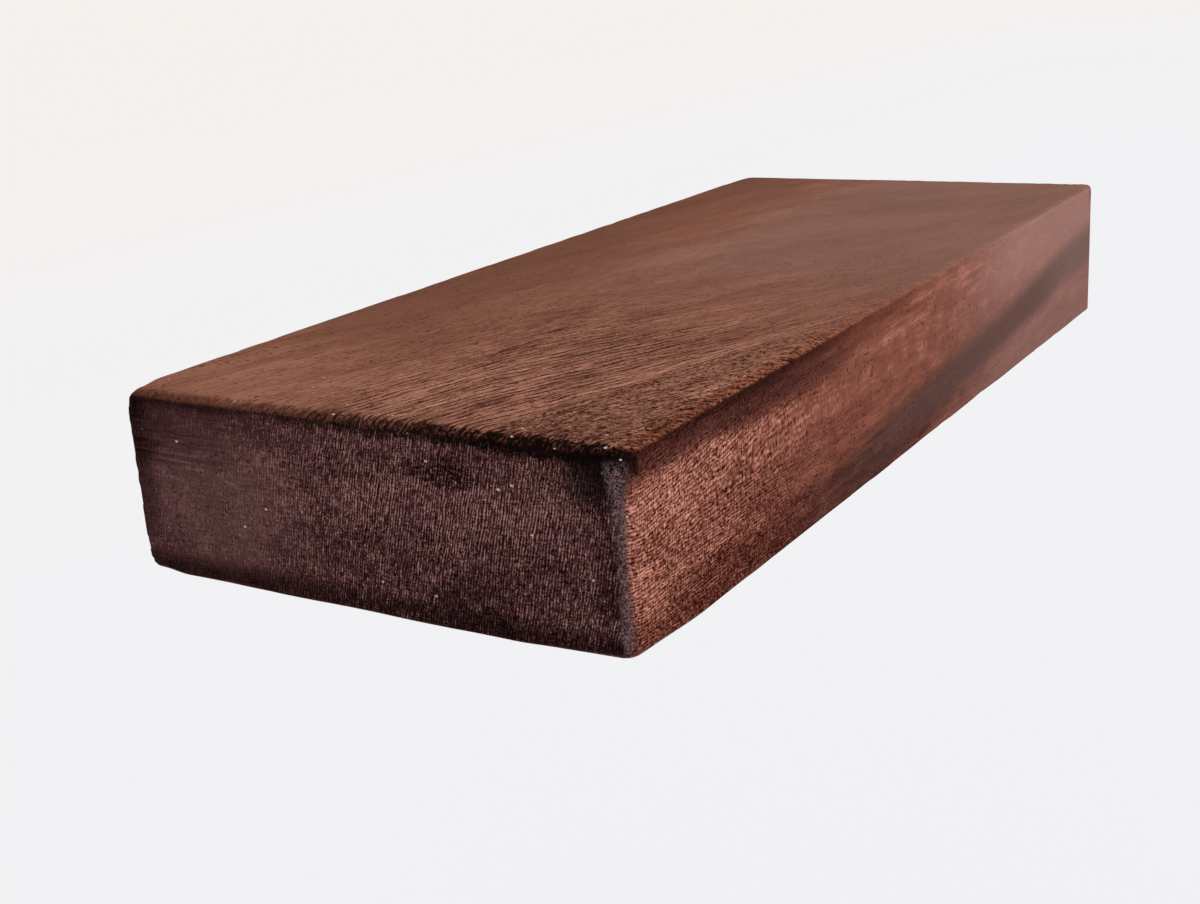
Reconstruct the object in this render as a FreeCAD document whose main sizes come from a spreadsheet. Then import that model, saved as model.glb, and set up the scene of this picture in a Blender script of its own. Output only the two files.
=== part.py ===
import FreeCAD, Part
import math
import os

import Sketcher

# A floating wall shelf: a solid hardwood board that slides over two rods of a hidden steel bracket.
#
# Frame: millimetres, origin on the wall plane at the middle of the board's back. +X runs along the
# wall, +Y points into the wall and +Z is up, so the board lies at negative Y.

DIMENSIONS = {
    # the board
    "board_length": 360.0,
    "board_depth": 150.0,
    "board_thickness": 50.0,
    "front_corner_round": 5.5,  # the two upright front corners
    "rear_corner_round": 3.0,  # the two upright corners at the wall
    "top_edge_round": 2.4,
    "bottom_edge_round": 2.6,
    # the flat bar on the wall, in its recess at the back of the board
    "plate_end_inset": 30.0,  # from the end of the board to the end of the bar
    "plate_height": 32.0,
    "plate_thickness": 5.0,
    "plate_corner_round": 6.0,
    "recess_clearance": 0.5,  # on every side of the bar and in front of it
    # the two rods and the bores that they fill
    "rod_diameter": 12.0,
    "rod_to_screw": 40.0,  # from an outer screw inwards to the rod beside it
    "rod_tip_chamfer": 1.5,
    "rod_back_setback": 0.5,  # the rod's rear end stays this far inside the bar
    "rod_seat_clearance": 0.05,  # radial, in the bar and in the weld
    "bore_clearance": 0.25,  # radial, in the board
    "bore_end_gap": 5.0,  # from the rod's tip to the end of the bore
    "front_cover": 25.0,  # wood left between the end of the bore and the front face
    "bore_point_angle": 118.0,
    "weld_leg": 3.0,
    "weld_clearance": 1.4,  # from the weld's face to the countersunk mouth of the bore
    # the countersunk screws
    "screw_end_margin": 20.0,  # from the end of the bar to the outer screw
    "screw_to_rod": 50.0,  # from a rod inwards to the inner screw
    "screw_length": 50.0,
    "screw_diameter": 5.0,
    "screw_tip_length": 7.0,
    "head_diameter": 9.6,
    "head_setback": 0.3,  # the head lies this far below the face of the bar
    "head_seat_clearance": 0.07,
    "screw_hole_clearance": 0.25,  # radial, round the thread in the bar
    "recess_wing_width": 1.1,
    "recess_span": 5.0,
    "recess_depth": 2.2,
    # the expansion plugs
    "plug_diameter": 8.0,
    "plug_length": 40.0,
    "plug_set_depth": 3.0,  # below the wall plane, under the plaster
    "plug_bore_clearance": 0.1,  # radial, round the thread
    "plug_collar_length": 8.0,
    "plug_nose_chamfer": 0.9,
    "plug_nose_length": 2.0,
    "plug_bridge": 3.0,  # the ring of nylon that closes the slot at the nose
    "plug_slot_width": 1.2,
    "tooth_depth": 0.7,
    "tooth_length": 3.0,  # the sloping side of a tooth
    "tooth_pitch": 5.5,
}

NODES = "parts"
LONGEST_NAME = 60
ROUNDEST_SHARE = 0.95  # of an upright corner's radius
FULL_TURN = 360.0
HALF_TURN = 180.0
QUARTER_TURN = 90.0
COUNTERSINK = 90.0  # the angle of every countersunk cone

document = FreeCAD.newDocument("floating_wall_shelf")
sheet = document.addObject("Spreadsheet::Sheet", "sizes")


class Size:
    """A length that knows both its number and the expression that ties it to the sheet."""

    def __init__(self, text, number):
        self.text = text
        self.number = number

    def _join(self, sign, other, number):
        other_text = other.text if isinstance(other, Size) else repr(other)
        return Size(f"({self.text} {sign} {other_text})", number)

    def __add__(self, other):
        return self._join("+", other, self.number + number_of(other))

    def __sub__(self, other):
        return self._join("-", other, self.number - number_of(other))

    def __mul__(self, other):
        return self._join("*", other, self.number * number_of(other))

    def __truediv__(self, other):
        return self._join("/", other, self.number / number_of(other))

    def __neg__(self):
        return Size(f"(-{self.text})", -self.number)


def number_of(value):
    return value.number if isinstance(value, Size) else value


def smaller(first, second):
    return Size(f"min({first.text}; {second.text})", min(first.number, second.number))


def whole(size):
    return Size(f"floor({size.text})", math.floor(size.number))


def fill_sheet():
    """Write one row per driving dimension and hand back each as a Size."""
    sizes = {}
    for row, (alias, number) in enumerate(DIMENSIONS.items(), start=1):
        sheet.set(f"A{row}", alias.replace("_", " "))
        sheet.set(f"B{row}", str(number))
        sheet.setAlias(f"B{row}", alias)
        sizes[alias] = Size(f"sizes.{alias}", number)
    document.recompute()
    return sizes


# ---- shared helpers -------------------------------------------------------------------------------


def new_body(label):
    body = document.addObject("PartDesign::Body", label)
    body.Label = label
    return body


def origin_feature(body, role):
    return next(f for f in body.Origin.OriginFeatures if f.Role == role)


def new_sketch(body, name, plane, lift=None):
    """A sketch on one of the body's own origin planes, lifted along the plane's normal if asked."""
    sketch = body.newObject("Sketcher::SketchObject", name)
    sketch.AttachmentSupport = [(origin_feature(body, plane), "")]
    sketch.MapMode = "FlatFace"
    if lift is not None:
        sketch.setExpression("AttachmentOffset.Base.z", lift.text)
    return sketch


def new_feature(body, kind, name, sketch):
    feature = body.newObject(f"PartDesign::{kind}", name)
    feature.Profile = sketch
    sketch.Visibility = False
    return feature


def dimension(sketch, kind, where, size):
    """Add a driving constraint and tie it to the sheet."""
    index = sketch.addConstraint(Sketcher.Constraint(kind, *where, size.number))
    sketch.setExpression(f"Constraints[{index}]", size.text)


def constrain(sketch, kind, *where):
    sketch.addConstraint(Sketcher.Constraint(kind, *where))


# how a sketch numbers its own axes, and the points of a line or an arc
HORIZONTAL_AXIS, VERTICAL_AXIS = range(-1, -3, -1)
START, END, CENTRE = range(1, 4)
ORIGIN = (HORIZONTAL_AXIS, START)


def place_point(sketch, point, across, up):
    """Fix a point at a distance across and up from the sketch's origin. None puts it on that axis."""
    if across is None:
        constrain(sketch, "PointOnObject", *point, VERTICAL_AXIS)
    elif across.number < 0:
        dimension(sketch, "DistanceX", (*point, *ORIGIN), -across)
    else:
        dimension(sketch, "DistanceX", (*ORIGIN, *point), across)
    if up is None:
        constrain(sketch, "PointOnObject", *point, HORIZONTAL_AXIS)
    elif up.number < 0:
        dimension(sketch, "DistanceY", (*point, *ORIGIN), -up)
    else:
        dimension(sketch, "DistanceY", (*ORIGIN, *point), up)


def draw_profile(sketch, corners):
    """A closed outline of straight lines through corners given as (across, up) pairs of sizes."""
    points = [
        FreeCAD.Vector(number_of(across or 0.0), number_of(up or 0.0), 0)
        for across, up in corners
    ]
    lines = [
        sketch.addGeometry(Part.LineSegment(point, points[(index + 1) % len(points)]))
        for index, point in enumerate(points)
    ]
    for index, (across, up) in enumerate(corners):
        constrain(sketch, "Coincident", lines[index], END, lines[(index + 1) % len(lines)], START)
        place_point(sketch, (lines[index], START), across, up)


def draw_rounded_outline(sketch, width, low, high, low_round, high_round):
    """A rectangle centred on the vertical axis, with one radius at its low corners and one at its high.

    low is how far it reaches below the horizontal axis and high how far above it, None for not at all.
    """
    half = width.number / 2
    bottom = -low.number
    top = number_of(high or 0.0)
    radius_low = low_round.number
    radius_high = high_round.number
    z_axis = FreeCAD.Vector(0, 0, 1)

    def line(x0, y0, x1, y1):
        sketch.addGeometry(Part.LineSegment(FreeCAD.Vector(x0, y0, 0), FreeCAD.Vector(x1, y1, 0)))

    def corner(x, y, radius, quarter):
        circle = Part.Circle(FreeCAD.Vector(x, y, 0), z_axis, radius)
        start = quarter * math.pi / 2
        sketch.addGeometry(Part.ArcOfCircle(circle, start, start + math.pi / 2))

    line(-half + radius_low, bottom, half - radius_low, bottom)
    corner(half - radius_low, bottom + radius_low, radius_low, 3)
    line(half, bottom + radius_low, half, top - radius_high)
    corner(half - radius_high, top - radius_high, radius_high, 0)
    line(half - radius_high, top, -half + radius_high, top)
    corner(-half + radius_high, top - radius_high, radius_high, 1)
    line(-half, top - radius_high, -half, bottom + radius_low)
    corner(-half + radius_low, bottom + radius_low, radius_low, 2)

    low_edge, low_right, right_edge, high_right, high_edge, high_left, left_edge, low_left = range(8)
    for index in range(8):
        constrain(sketch, "Tangent", index, END, (index + 1) % 8, START)
    constrain(sketch, "Horizontal", high_edge)
    constrain(sketch, "Vertical", right_edge)
    constrain(sketch, "Vertical", left_edge)
    constrain(sketch, "Symmetric", low_edge, START, low_edge, END, VERTICAL_AXIS)
    constrain(sketch, "Equal", low_right, low_left)
    constrain(sketch, "Equal", high_right, high_left)
    dimension(sketch, "Radius", (low_right,), low_round)
    dimension(sketch, "Radius", (high_right,), high_round)
    dimension(sketch, "DistanceX", (left_edge, START, right_edge, START), width)
    dimension(sketch, "DistanceY", (low_edge, START, *ORIGIN), low)
    if high is None:
        constrain(sketch, "PointOnObject", high_edge, START, HORIZONTAL_AXIS)
    else:
        dimension(sketch, "DistanceY", (*ORIGIN, high_edge, START), high)


def draw_circles(sketch, centres, radius):
    """Circles of one radius with their centres on the horizontal axis."""
    z_axis = FreeCAD.Vector(0, 0, 1)
    for across in centres:
        centre = FreeCAD.Vector(number_of(across or 0.0), 0, 0)
        index = sketch.addGeometry(Part.Circle(centre, z_axis, radius.number))
        dimension(sketch, "Radius", (index,), radius)
        place_point(sketch, (index, CENTRE), across, None)


def edges_at(feature, axis, coordinate):
    """Names of the edges of a feature that lie wholly at one coordinate."""
    names = []
    for index, edge in enumerate(feature.Shape.Edges, start=1):
        if all(abs(getattr(v.Point, axis) - coordinate) < 1e-6 for v in edge.Vertexes):
            names.append(f"Edge{index}")
    return names


def round_edges(body, base, name, edges, radius):
    fillet = body.newObject("PartDesign::Fillet", name)
    fillet.Base = (base, edges)
    fillet.setExpression("Radius", radius.text)
    base.Visibility = False
    document.recompute()
    return fillet


def require_volume_change(before, after, sign, what):
    """A cut that points away from the solid removes nothing and raises nothing, so it is checked."""
    change = after.Shape.Volume - before
    if change * sign <= 0:
        raise RuntimeError(f"{what} did not change the solid as it should")


def revolve(body, sketch, name):
    revolution = new_feature(body, "Revolution", name, sketch)
    revolution.ReferenceAxis = (sketch, ["V_Axis"])
    revolution.Angle = FULL_TURN
    return revolution


def cut_both_ways(body, name, sketch):
    """Cut a sketch's outline right through the body, to both sides of the sketch's plane."""
    pocket = new_feature(body, "Pocket", name, sketch)
    pocket.SideType = "Symmetric"
    pocket.Type = "ThroughAll"
    document.recompute()
    return pocket


def repeat_turned(body, feature, name, angle, count):
    """Repeat a feature round the body's own Y axis."""
    pattern = body.newObject("PartDesign::PolarPattern", name)
    pattern.Originals = [feature]
    pattern.Axis = (origin_feature(body, "Y_Axis"), [""])
    pattern.Angle = angle
    pattern.Occurrences = count
    body.Tip = pattern
    document.recompute()
    return pattern


# ---- sizes that several pieces share --------------------------------------------------------------

S = fill_sheet()

plate_length = S["board_length"] - S["plate_end_inset"] * 2
outer_screw_x = plate_length / 2 - S["screw_end_margin"]
rod_x = outer_screw_x - S["rod_to_screw"]
inner_screw_x = rod_x - S["screw_to_rod"]
screw_places = [-outer_screw_x, -inner_screw_x, inner_screw_x, outer_screw_x]

rod_radius = S["rod_diameter"] / 2
rod_seat_radius = rod_radius + S["rod_seat_clearance"]
rod_length = S["board_depth"] - S["front_cover"] - S["bore_end_gap"] - S["rod_back_setback"]
recess_depth = S["plate_thickness"] + S["recess_clearance"]
bore_radius = rod_radius + S["bore_clearance"]
bore_depth = S["board_depth"] - S["front_cover"] - recess_depth
# A fillet weld and a 90 degree countersink are both 45 degree cones, so the gap between them is the
# difference of radius plus height, over the square root of two.
mouth_radius = rod_radius + S["weld_leg"] - S["recess_clearance"] + S["weld_clearance"] * math.sqrt(2)

head_radius = S["head_diameter"] / 2
thread_radius = S["screw_diameter"] / 2
screw_hole_radius = thread_radius + S["screw_hole_clearance"]
countersink_radius = head_radius + S["head_setback"] + S["head_seat_clearance"]
screw_head_y = S["head_setback"] - S["plate_thickness"]

toothed_length = S["plug_length"] - S["plug_collar_length"] - S["plug_nose_length"]
tooth_count = whole(toothed_length / S["tooth_pitch"])


# ---- the board ------------------------------------------------------------------------------------


def make_board():
    body = new_body("shelf_board")

    outline = new_sketch(body, "board_outline", "XY_Plane")
    draw_rounded_outline(
        outline, S["board_length"], S["board_depth"], None, S["front_corner_round"], S["rear_corner_round"]
    )
    slab = new_feature(body, "Pad", "slab", outline)
    slab.SideType = "Symmetric"
    slab.setExpression("Length", S["board_thickness"].text)
    document.recompute()

    # a long edge can't be rounded by more than the upright corners that it runs round
    half_thickness = S["board_thickness"].number / 2
    roundest = smaller(S["front_corner_round"], S["rear_corner_round"]) * ROUNDEST_SHARE
    top_round = smaller(S["top_edge_round"], roundest)
    bottom_round = smaller(S["bottom_edge_round"], roundest)
    top_edges = edges_at(slab, "z", half_thickness)
    eased_top = round_edges(body, slab, "eased_top", top_edges, top_round)
    bottom_edges = edges_at(eased_top, "z", -half_thickness)
    eased = round_edges(body, eased_top, "eased_bottom", bottom_edges, bottom_round)

    # the recess that the flat bar lies in, routed from the back
    recess_outline = new_sketch(body, "recess_outline", "XZ_Plane")
    recess_half_height = S["plate_height"] / 2 + S["recess_clearance"]
    recess_round = S["plate_corner_round"] + S["recess_clearance"]
    draw_rounded_outline(
        recess_outline,
        plate_length + S["recess_clearance"] * 2,
        recess_half_height,
        recess_half_height,
        recess_round,
        recess_round,
    )
    recess = new_feature(body, "Pocket", "plate_recess", recess_outline)
    recess.Reversed = True
    recess.setExpression("Length", recess_depth.text)
    document.recompute()
    require_volume_change(eased.Shape.Volume, recess, -1, "the plate recess")

    # the two blind bores, drilled from the floor of the recess with a countersunk mouth for the weld
    bore_centres = new_sketch(body, "bore_centres", "XZ_Plane", lift=recess_depth)
    draw_circles(bore_centres, [-rod_x, rod_x], bore_radius)
    document.recompute()
    bores = new_feature(body, "Hole", "rod_bores", bore_centres)
    bores.Reversed = True
    bores.ThreadType = "None"
    bores.DepthType = "Dimension"
    bores.DrillPoint = "Angled"
    bores.HoleCutType = "Countersink"
    bores.HoleCutCustomValues = True
    bores.HoleCutCountersinkAngle = COUNTERSINK
    bores.setExpression("Diameter", (bore_radius * 2).text)
    bores.setExpression("Depth", bore_depth.text)
    bores.setExpression("DrillPointAngle", S["bore_point_angle"].text)
    bores.setExpression("HoleCutDiameter", (mouth_radius * 2).text)
    document.recompute()
    require_volume_change(recess.Shape.Volume, bores, -1, "the rod bores")
    return body


# ---- the bracket ----------------------------------------------------------------------------------


def make_plate():
    body = new_body("wall_plate")

    outline = new_sketch(body, "plate_outline", "XZ_Plane")
    half_height = S["plate_height"] / 2
    draw_rounded_outline(
        outline, plate_length, half_height, half_height, S["plate_corner_round"], S["plate_corner_round"]
    )
    bar = new_feature(body, "Pad", "flat_bar", outline)
    bar.setExpression("Length", S["plate_thickness"].text)

    rod_seats = new_sketch(body, "rod_seats", "XZ_Plane", lift=S["plate_thickness"])
    draw_circles(rod_seats, [-rod_x, rod_x], rod_seat_radius)
    seats = new_feature(body, "Pocket", "rod_seat_holes", rod_seats)
    seats.Type = "ThroughAll"
    document.recompute()
    require_volume_change(bar.Shape.Volume, seats, -1, "the rod seats")

    screw_centres = new_sketch(body, "screw_centres", "XZ_Plane", lift=S["plate_thickness"])
    draw_circles(screw_centres, screw_places, screw_hole_radius)
    document.recompute()
    holes = new_feature(body, "Hole", "screw_holes", screw_centres)
    holes.ThreadType = "None"
    holes.DepthType = "ThroughAll"
    holes.HoleCutType = "Countersink"
    holes.HoleCutCustomValues = True
    holes.HoleCutCountersinkAngle = COUNTERSINK
    holes.setExpression("Diameter", (screw_hole_radius * 2).text)
    holes.setExpression("HoleCutDiameter", (countersink_radius * 2).text)
    document.recompute()
    require_volume_change(seats.Shape.Volume, holes, -1, "the screw holes")
    return body


def make_rod(label, across):
    body = new_body(label)
    section = new_sketch(body, f"{label}_section", "XZ_Plane")
    draw_circles(section, [None], rod_radius)
    bar = new_feature(body, "Pad", f"{label}_bar", section)
    bar.setExpression("Length", rod_length.text)
    document.recompute()

    tip = body.newObject("PartDesign::Chamfer", f"{label}_tip")
    tip.Base = (bar, edges_at(bar, "y", -rod_length.number))
    tip.setExpression("Size", S["rod_tip_chamfer"].text)
    bar.Visibility = False
    body.setExpression("Placement.Base.x", across.text)
    body.setExpression("Placement.Base.y", (-S["rod_back_setback"]).text)
    return body


def make_weld(label, across):
    """A ring of fillet weld in the corner between the rod and the bar."""
    body = new_body(label)
    section = new_sketch(body, f"{label}_section", "XY_Plane")
    inner = rod_seat_radius
    outer = rod_radius + S["weld_leg"]
    draw_profile(section, [(inner, None), (outer, None), (inner, outer - inner)])
    revolve(body, section, f"{label}_ring")
    # the profile's height runs away from the wall, so the ring is turned to face the front
    turned_round = FreeCAD.Rotation(FreeCAD.Vector(0, 0, 1), HALF_TURN)
    body.Placement = FreeCAD.Placement(FreeCAD.Vector(), turned_round)
    body.setExpression("Placement.Base.x", across.text)
    body.setExpression("Placement.Base.y", (-S["plate_thickness"]).text)
    return body


# ---- the fixings ----------------------------------------------------------------------------------


def make_screw(label, across):
    """A countersunk screw whose thread is its outer envelope, head at the origin, point along +Y."""
    body = new_body(label)
    section = new_sketch(body, f"{label}_section", "XY_Plane")
    draw_profile(
        section,
        [
            (None, None),
            (head_radius, None),
            (thread_radius, head_radius - thread_radius),
            (thread_radius, S["screw_length"] - S["screw_tip_length"]),
            (None, S["screw_length"]),
        ],
    )
    turned = revolve(body, section, f"{label}_turned")
    document.recompute()

    wing = new_sketch(body, f"{label}_wing", "XZ_Plane")
    half_span = S["recess_span"] / 2
    half_width = S["recess_wing_width"] / 2
    draw_profile(
        wing,
        [
            (-half_span, -half_width),
            (half_span, -half_width),
            (half_span, half_width),
            (-half_span, half_width),
        ],
    )
    slot = new_feature(body, "Pocket", f"{label}_slot", wing)
    slot.setExpression("Length", S["recess_depth"].text)
    document.recompute()
    require_volume_change(turned.Shape.Volume, slot, -1, "the driver slot")
    cross = repeat_turned(body, slot, f"{label}_cross", QUARTER_TURN, 2)
    require_volume_change(slot.Shape.Volume, cross, -1, "the crossed slot")

    body.setExpression("Placement.Base.x", across.text)
    body.setExpression("Placement.Base.y", screw_head_y.text)
    return body


def make_plug(label, across):
    """A nylon plug: a plain collar, then two toothed legs, joined again by a bridge at the nose."""
    body = new_body(label)
    outer = S["plug_diameter"] / 2
    inner = thread_radius + S["plug_bore_clearance"]
    nose_start = S["plug_length"] - S["plug_nose_length"]

    section = new_sketch(body, f"{label}_section", "XY_Plane")
    draw_profile(
        section,
        [
            (inner, None),
            (outer, None),
            (outer, nose_start),
            (outer - S["plug_nose_chamfer"], S["plug_length"]),
            (inner, S["plug_length"]),
        ],
    )
    tube = revolve(body, section, f"{label}_tube")
    document.recompute()

    # the slot that splits the tube into a left and a right leg, open above and below
    slot_outline = new_sketch(body, f"{label}_slot_outline", "XY_Plane")
    half_width = S["plug_slot_width"] / 2
    slot_end = S["plug_length"] - S["plug_bridge"]
    draw_profile(
        slot_outline,
        [
            (-half_width, S["plug_collar_length"]),
            (half_width, S["plug_collar_length"]),
            (half_width, slot_end),
            (-half_width, slot_end),
        ],
    )
    slot = cut_both_ways(body, f"{label}_slot", slot_outline)
    require_volume_change(tube.Shape.Volume, slot, -1, "the plug's slot")

    # saw teeth on the outside of both legs: one pair of notches, repeated along the legs
    notch_outline = new_sketch(body, f"{label}_notch_outline", "XY_Plane")
    notch_start = S["plug_collar_length"]
    notch_end = notch_start + S["tooth_length"]
    notch_floor = outer - S["tooth_depth"]
    clear_of_leg = outer + S["tooth_depth"]
    for floor, rim in ((notch_floor, clear_of_leg), (-notch_floor, -clear_of_leg)):
        draw_profile(notch_outline, [(floor, notch_start), (rim, notch_end), (rim, notch_start)])
    notch = cut_both_ways(body, f"{label}_notch", notch_outline)
    teeth = body.newObject("PartDesign::LinearPattern", f"{label}_teeth")
    teeth.Originals = [notch]
    teeth.Direction = (origin_feature(body, "Y_Axis"), [""])
    teeth.Mode = "Spacing"
    teeth.setExpression("Occurrences", tooth_count.text)
    teeth.setExpression("Offset", S["tooth_pitch"].text)
    body.Tip = teeth
    document.recompute()
    require_volume_change(notch.Shape.Volume, teeth, -1, "the plug's teeth")

    body.setExpression("Placement.Base.x", across.text)
    body.setExpression("Placement.Base.y", S["plug_set_depth"].text)
    return body


# ---- assembly and export --------------------------------------------------------------------------


def make_all():
    nodes = [make_board(), make_plate()]
    for side, across in (("left", -rod_x), ("right", rod_x)):
        nodes.append(make_rod(f"rod_{side}", across))
        nodes.append(make_weld(f"weld_{side}", across))
    for number, across in enumerate(screw_places, start=1):
        nodes.append(make_screw(f"wall_screw_{number}", across))
        nodes.append(make_plug(f"wall_plug_{number}", across))
    document.recompute()
    return nodes


def check_document(nodes):
    for item in document.Objects:
        if "Invalid" in item.State or "Error" in item.State:
            raise RuntimeError(f"{item.Label} failed to recompute: {item.State}")
    for node in nodes:
        if node.Shape.isNull() or not node.Shape.isValid() or len(node.Shape.Solids) != 1:
            raise RuntimeError(f"{node.Label} is not one valid solid")
        if len(node.Label) >= LONGEST_NAME:
            raise RuntimeError(f"{node.Label} is too long a name")


def main():
    nodes = make_all()
    check_document(nodes)
    os.makedirs(NODES, exist_ok=True)
    for node in nodes:
        node.Shape.exportStep(f"{NODES}/{node.Label}.step")
        box = node.Shape.BoundBox
        lengths = f"{box.XLength:.1f} x {box.YLength:.1f} x {box.ZLength:.1f} mm"
        print(f"{node.Label}: {lengths}, {node.Shape.Volume:.0f} mm3")


main()
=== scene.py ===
"""Floating wall shelf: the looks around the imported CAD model, in metres, for Blender 4.5."""

import math

import bmesh
import bpy
import numpy as np
from mathutils import Euler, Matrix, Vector


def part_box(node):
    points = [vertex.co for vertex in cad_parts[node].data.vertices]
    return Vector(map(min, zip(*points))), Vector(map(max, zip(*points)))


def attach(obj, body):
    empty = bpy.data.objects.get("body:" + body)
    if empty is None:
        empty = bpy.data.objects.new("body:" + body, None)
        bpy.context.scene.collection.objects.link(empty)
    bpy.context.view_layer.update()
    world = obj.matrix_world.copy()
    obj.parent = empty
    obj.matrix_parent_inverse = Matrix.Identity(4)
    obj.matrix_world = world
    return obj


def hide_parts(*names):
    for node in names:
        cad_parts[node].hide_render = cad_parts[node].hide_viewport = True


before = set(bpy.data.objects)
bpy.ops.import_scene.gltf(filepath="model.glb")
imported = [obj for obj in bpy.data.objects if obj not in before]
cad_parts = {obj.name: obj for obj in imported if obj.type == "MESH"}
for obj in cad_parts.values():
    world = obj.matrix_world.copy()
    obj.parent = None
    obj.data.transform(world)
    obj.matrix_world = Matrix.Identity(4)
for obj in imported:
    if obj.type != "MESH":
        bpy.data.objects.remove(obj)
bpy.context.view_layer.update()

MM = 0.001

# ---- the board's form, in millimetres ----

HALF_LENGTH = 180.0
BOARD_DEPTH = 150.0
HALF_THICKNESS = 25.0
FRONT_CORNER_ROUND = 5.5
FAR_CORNER_ROUND = 3.2
REAR_CORNER_ROUND = 1.0
TIGHTEST_CORNER = 1.2
TOP_ROUND = 2.0
BOTTOM_ROUND = 2.5
BACK_MARGIN = 5.0
RIM_BAND = 8.0
RIM_STEP = 0.4
MIDDLE_STEPS = (2.2, 1.8, 1.1)
RECESS_HALF_LENGTH = 150.5
RECESS_HALF_HEIGHT = 16.5
RECESS_CORNER_ROUND = 6.5
RECESS_DEPTH = 5.5
RECESS_LIP = ((0.35, 0.0), (0.1, 0.12), (0.0, 0.4))
RECESS_FOOT = ((0.0, 0.5), (-0.14, 0.14), (-0.5, 0.0))
BORE_X = 90.0
BORE_RADIUS = 6.25
BORE_DEPTH = 125.0
MOUTH_RADIUS = 10.48
DRILL_POINT_HALF_ANGLE = math.radians(59.0)

# ---- the bracket's form, in millimetres ----

PLATE_HALF_LENGTH = 150.0
PLATE_HALF_HEIGHT = 16.0
PLATE_CORNER_ROUND = 6.0
PLATE_THICKNESS = 5.0
PLATE_EDGE = ((-0.45, 0.0), (-0.12, 0.12), (0.0, 0.45))
ROD_RADIUS = 6.0
ROD_STRAIGHT = (0.75, 118.2)
WELD_ROD_RADIUS = 6.05
WELD_REACH = 2.95
WELD_TURNS = 180
WELD_RIPPLES = 21
SCREW_X = (-130.0, -40.0, 40.0, 130.0)
SCREW_HEAD_TOP = -4.7
SCREW_THREAD_RADIUS = 2.5
SCREW_ROOT_RADIUS = 1.65
SCREW_PITCH = 2.4
SCREW_POINT_LENGTH = 7.0
SCREW_THREAD_START = 2.3
SCREW_END = 45.3
SCREW_SIDES = 32

# how finely round and rounded forms are divided
HOLE_SIDES = 64
SCREW_HOLE_SIDES = 48
SLOT_CORNER_STEPS = 9
SLOT_SPACING = 4.0


# ---- mesh helpers ----


def lattice_noise(points, seed):
    """Smooth noise from 0 to 1 at each row of points, with one bump per unit of length."""
    base = np.floor(points).astype(np.int64)
    part = points - base
    part = part * part * (3.0 - 2.0 * part)
    total = np.zeros(len(points))
    for corner in np.ndindex(2, 2, 2):
        weight = np.prod(np.where(corner, part, 1.0 - part), axis=1)
        i, j, k = (base + corner).T
        mixed = (i * 73856093) ^ (j * 19349663) ^ (k * 83492791) ^ (seed * 2654435761)
        mixed = ((mixed ^ (mixed >> 13)) * 1274126177) & 0xFFFFFFFF
        mixed = mixed ^ (mixed >> 16)
        total += weight * (mixed & 0xFFFF) / 65535.0
    return total


def ramp(values, start, end):
    """Goes smoothly from 0 at start to 1 at end."""
    part = np.clip((values - start) / (end - start), 0.0, 1.0)
    return part * part * (3.0 - 2.0 * part)


def stations(low, high, step):
    """Places along one edge of the board, a step apart, and close together near both ends."""
    near = np.arange(0.0, RIM_BAND, RIM_STEP)
    middle = np.linspace(RIM_BAND, high - low - RIM_BAND, round((high - low - 2.0 * RIM_BAND) / step) + 1)
    return low + np.concatenate([near, middle, high - low - near[::-1]])


def box_skin(places):
    """Quads over the six sides of a box, each corner as three indices into the lists of places."""
    sizes = [len(one) for one in places]
    quads = []
    for axis in range(3):
        across, up = [other for other in range(3) if other != axis]
        for end in (0, sizes[axis] - 1):
            i, j = np.meshgrid(np.arange(sizes[across] - 1), np.arange(sizes[up] - 1), indexing="ij")
            side = np.full((i.size, 4, 3), end)
            for corner, (di, dj) in enumerate(((0, 0), (1, 0), (1, 1), (0, 1))):
                side[:, corner, across] = i.ravel() + di
                side[:, corner, up] = j.ravel() + dj
            outward = (end == 0) == (axis == 1)
            quads.append(side if outward else side[:, ::-1])
    return np.concatenate(quads)


def vertex_normals(points, quads):
    """The outward direction at each point of a mesh of quads."""
    diagonal = points[quads[:, 2]] - points[quads[:, 0]]
    other = points[quads[:, 3]] - points[quads[:, 1]]
    across = np.cross(diagonal, other)
    normals = np.zeros_like(points)
    for corner in range(4):
        np.add.at(normals, quads[:, corner], across)
    return normals / np.linalg.norm(normals, axis=1, keepdims=True)


def add_object(name, data):
    """Adds an object to the scene."""
    piece = bpy.data.objects.new(name, data)
    bpy.context.scene.collection.objects.link(piece)
    return piece


def new_piece(name, mesh, body, replaced, material, sharp_angle=35.0):
    """Adds a finished mesh as a piece that rides on a body and stands for CAD nodes."""
    mesh.polygons.foreach_set("use_smooth", [True] * len(mesh.polygons))
    mesh.set_sharp_from_angle(angle=math.radians(sharp_angle))
    mesh.materials.append(material)
    piece = add_object(name, mesh)
    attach(piece, body)
    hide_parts(*replaced)


def mesh_of(build, name):
    """Closes a bmesh that is in millimetres and gives it as a mesh in metres."""
    bmesh.ops.recalc_face_normals(build, faces=build.faces)
    bmesh.ops.scale(build, vec=(MM, MM, MM), verts=build.verts)
    mesh = bpy.data.meshes.new(name)
    build.to_mesh(mesh)
    build.free()
    return mesh


def add_loop(build, points):
    """Adds the points as a closed loop of vertices."""
    return [build.verts.new(point) for point in points]


def skin_along(build, loops):
    """Adds quads between each loop and the next, which has as many vertices."""
    for first, second in zip(loops, loops[1:]):
        for i in range(len(first)):
            j = (i + 1) % len(first)
            build.faces.new((first[i], first[j], second[j], second[i]))


def close_to_point(build, loop, place):
    """Adds triangles from a loop to a new vertex."""
    tip = build.verts.new(place)
    for first, second in zip(loop, loop[1:] + loop[:1]):
        build.faces.new((first, second, tip))


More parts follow.
